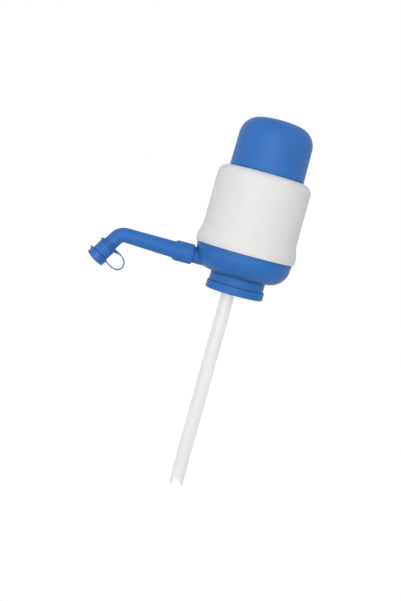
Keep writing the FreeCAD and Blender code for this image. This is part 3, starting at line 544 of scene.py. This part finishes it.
def add_cap_crown():
    outline = [(CROWN_CORE * MM, CROWN_START * MM), (CROWN_RADIUS * MM, CROWN_START * MM)]
    for step in range(CROWN_STEPS + 1):
        share = 1 - step / CROWN_STEPS
        out = max(CROWN_RADIUS * share, CROWN_CORE)
        along = CROWN_MIDDLE - CROWN_DROP * share * share
        outline.append((out * MM, along * MM))
    rings = turned_rings(outline, NOZZLE_STEPS, elbow, leg, strap_side)
    skin("spout_cap_crown", rings, True, "blue_soft_plastic", "cap")


add_cap_crown()

# Bellows with rounded folds.
# Under its flat roof, the last fold ends in a shoulder, given as shares of the roof's thickness.

BELLOWS_CREST = 36.9 * MM
BELLOWS_ROOT = 30.6 * MM
BELLOWS_WALL = 1.3 * MM
BELLOWS_FOOT_RADIUS = 40.4 * MM
BELLOWS_FOOT_HEIGHT = 2.2 * MM
BELLOWS_CUFF = 2.6 * MM
BELLOWS_HOLE = 9.0 * MM
BELLOWS_ROOF = 1.8 * MM
BELLOWS_FOLDS = 8
BELLOWS_STEPS = 96
SHOULDER_IN = 0.4
SHOULDER_DOWN = 0.3
FOLD_STEPS = 12


def bellows_folds(start, end):
    """The outside of the folds, as (radius, height) points between two heights"""
    points = []
    for step in range(BELLOWS_FOLDS * FOLD_STEPS + 1):
        share = step / (BELLOWS_FOLDS * FOLD_STEPS)
        wave = (1 - math.cos(math.tau * share * BELLOWS_FOLDS)) / 2
        radius = BELLOWS_ROOT + (BELLOWS_CREST - BELLOWS_ROOT) * wave
        points.append((radius, start + (end - start) * share))
    return points


def add_bellows():
    low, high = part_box("bellows")
    bottom = low[2]
    top = high[2]
    foot_top = bottom + BELLOWS_FOOT_HEIGHT
    roof_bottom = top - BELLOWS_ROOF
    folds = bellows_folds(foot_top + BELLOWS_CUFF, roof_bottom)
    outline = [(BELLOWS_FOOT_RADIUS, bottom), (BELLOWS_FOOT_RADIUS, foot_top), (BELLOWS_ROOT, foot_top)]
    outline += folds
    outline.append((BELLOWS_ROOT - BELLOWS_ROOF * SHOULDER_IN, top - BELLOWS_ROOF * SHOULDER_DOWN))
    outline.append((BELLOWS_ROOT - BELLOWS_ROOF, top))
    outline += [(BELLOWS_HOLE, top), (BELLOWS_HOLE, roof_bottom)]
    outline += [(radius - BELLOWS_WALL, height) for radius, height in reversed(folds)]
    outline.append((BELLOWS_ROOT - BELLOWS_WALL, bottom))
    rings = turned_rings(outline, BELLOWS_STEPS, ORIGIN, UP, SIDE)
    bellows = skin("bellows_rubber", rings, True, "bellows_rubber", "base")
    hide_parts("bellows")
    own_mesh(bellows)


add_bellows()

# Return spring. Part of a turn lies flat at each end.

SPRING_RADIUS = 16.2 * MM
SPRING_WIRE = 1.6 * MM
SPRING_TURNS = 8
SPRING_FLAT_TURN = 0.8
SPRING_STEPS = 48
SPRING_SIDES = 10


def add_spring():
    low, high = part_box("return_spring")
    wire = SPRING_WIRE / 2
    bottom = low[2] + wire
    rise = high[2] - low[2] - SPRING_WIRE
    flat = SPRING_FLAT_TURN / SPRING_TURNS
    rings = []
    count = SPRING_TURNS * SPRING_STEPS
    for step in range(count + 1):
        share = step / count
        angle = math.tau * SPRING_TURNS * share
        climb = min(max((share - flat) / (1 - 2 * flat), 0.0), 1.0)
        out = Vector((math.cos(angle), math.sin(angle), 0))
        centre = out * SPRING_RADIUS + UP * (bottom + rise * climb)
        ring = []
        for side in range(SPRING_SIDES):
            turn = math.tau * side / SPRING_SIDES
            ring.append(centre + out * wire * math.cos(turn) + UP * wire * math.sin(turn))
        rings.append(ring)
    spring = skin("return_spring_wire", rings, False, "steel", "base")
    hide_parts("return_spring")
    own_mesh(spring)


add_spring()

# Floor, world and one large lamp, all for soft light from the camera's side

PLAIN_WHITE = (1, 1, 1, 1)
KEY_TURN = math.radians(8)
KEY_DISTANCE = 1.6
KEY_HEIGHT = 0.12
KEY_SIZE = 1.0
KEY_POWER = 9.0
FLOOR_SIZE = 6.0
FLOOR_GAP = 0.4 * MM
FLOOR_COLOUR = (0.8, 0.8, 0.8, 1)
FLOOR_SHARE = 0.82
FLOOR_WHITE = 1.13
WORLD_BEHIND = 0.36
WORLD_IN_FRONT = 1.32
WORLD_ABOVE = 0.45
WORLD_WHITE = 1.0

front = Vector((math.sin(VIEW_TURN - KEY_TURN), -math.cos(VIEW_TURN - KEY_TURN), 0))


def seen_directly(tree):
    """1 for rays from the camera, off a glossy piece or through a clear one, 0 for the rest"""
    path = add_node(tree, "LightPath").outputs
    camera_or_glossy = maths(tree, "MAXIMUM", path["Is Camera Ray"], path["Is Glossy Ray"])
    return maths(tree, "MAXIMUM", camera_or_glossy, path["Is Transmission Ray"])


def add_floor():
    """A pale floor that shows as white, with a faint shadow, and hides nothing from below"""
    corner = FLOOR_SIZE / 2
    height = cad_box[0][2] - FLOOR_GAP
    mesh = bpy.data.meshes.new("floor")
    signs = ((-1, -1), (1, -1), (1, 1), (-1, 1))
    corners = [(corner * across, corner * along, height) for across, along in signs]
    mesh.from_pydata(corners, [], [(0, 1, 2, 3)])
    floor = bpy.data.objects.new("floor", mesh)
    bpy.context.scene.collection.objects.link(floor)
    material = bpy.data.materials.new("floor")
    material.use_nodes = True
    tree = material.node_tree
    tree.nodes.clear()
    matt = add_node(tree, "BsdfDiffuse", Color=FLOOR_COLOUR).outputs["BSDF"]
    white = add_node(tree, "Emission", Color=PLAIN_WHITE, Strength=FLOOR_WHITE).outputs["Emission"]
    share = maths(tree, "MULTIPLY", seen_directly(tree), FLOOR_SHARE)
    above = mixed(tree, share, matt, white)
    below = add_node(tree, "BsdfTransparent").outputs["BSDF"]
    from_below = add_node(tree, "NewGeometry").outputs["Backfacing"]
    add_node(tree, "OutputMaterial", Surface=mixed(tree, from_below, above, below))
    mesh.materials.append(material)


def add_world():
    """Soft light, brightest from the camera's side, in a room that shows as white"""
    world = bpy.data.worlds.new("studio")
    world.use_nodes = True
    bpy.context.scene.world = world
    tree = world.node_tree
    tree.nodes.clear()
    direction = add_node(tree, "TexCoord").outputs["Generated"]
    towards = add_node(tree, "VectorMath", {"operation": "DOT_PRODUCT"})
    feed(tree, towards.inputs[0], direction)
    feed(tree, towards.inputs[1], front)
    level = spread(tree, towards.outputs["Value"], WORLD_BEHIND, WORLD_IN_FRONT, -1.0, 1.0)
    height = add_node(tree, "SeparateXYZ", Vector=direction).outputs["Z"]
    fade = spread(tree, height, 1.0, WORLD_ABOVE, 0.0, 1.0)
    strength = maths(tree, "MULTIPLY", level, fade)
    soft = add_node(tree, "Background", Color=PLAIN_WHITE, Strength=strength).outputs["Background"]
    white = add_node(tree, "Background", Color=PLAIN_WHITE, Strength=WORLD_WHITE).outputs["Background"]
    add_node(tree, "OutputWorld", Surface=mixed(tree, seen_directly(tree), soft, white))


def add_key_lamp():
    data = bpy.data.lights.new("key_lamp", "AREA")
    data.shape = "SQUARE"
    data.size = KEY_SIZE
    data.energy = KEY_POWER
    lamp = bpy.data.objects.new("key_lamp", data)
    bpy.context.scene.collection.objects.link(lamp)
    lamp.location = front * KEY_DISTANCE + UP * KEY_HEIGHT
    lamp.rotation_euler = (-front).to_track_quat("-Z", "Y").to_euler()


add_floor()
add_world()
add_key_lamp()

bpy.context.scene.view_settings.view_transform = "Standard"
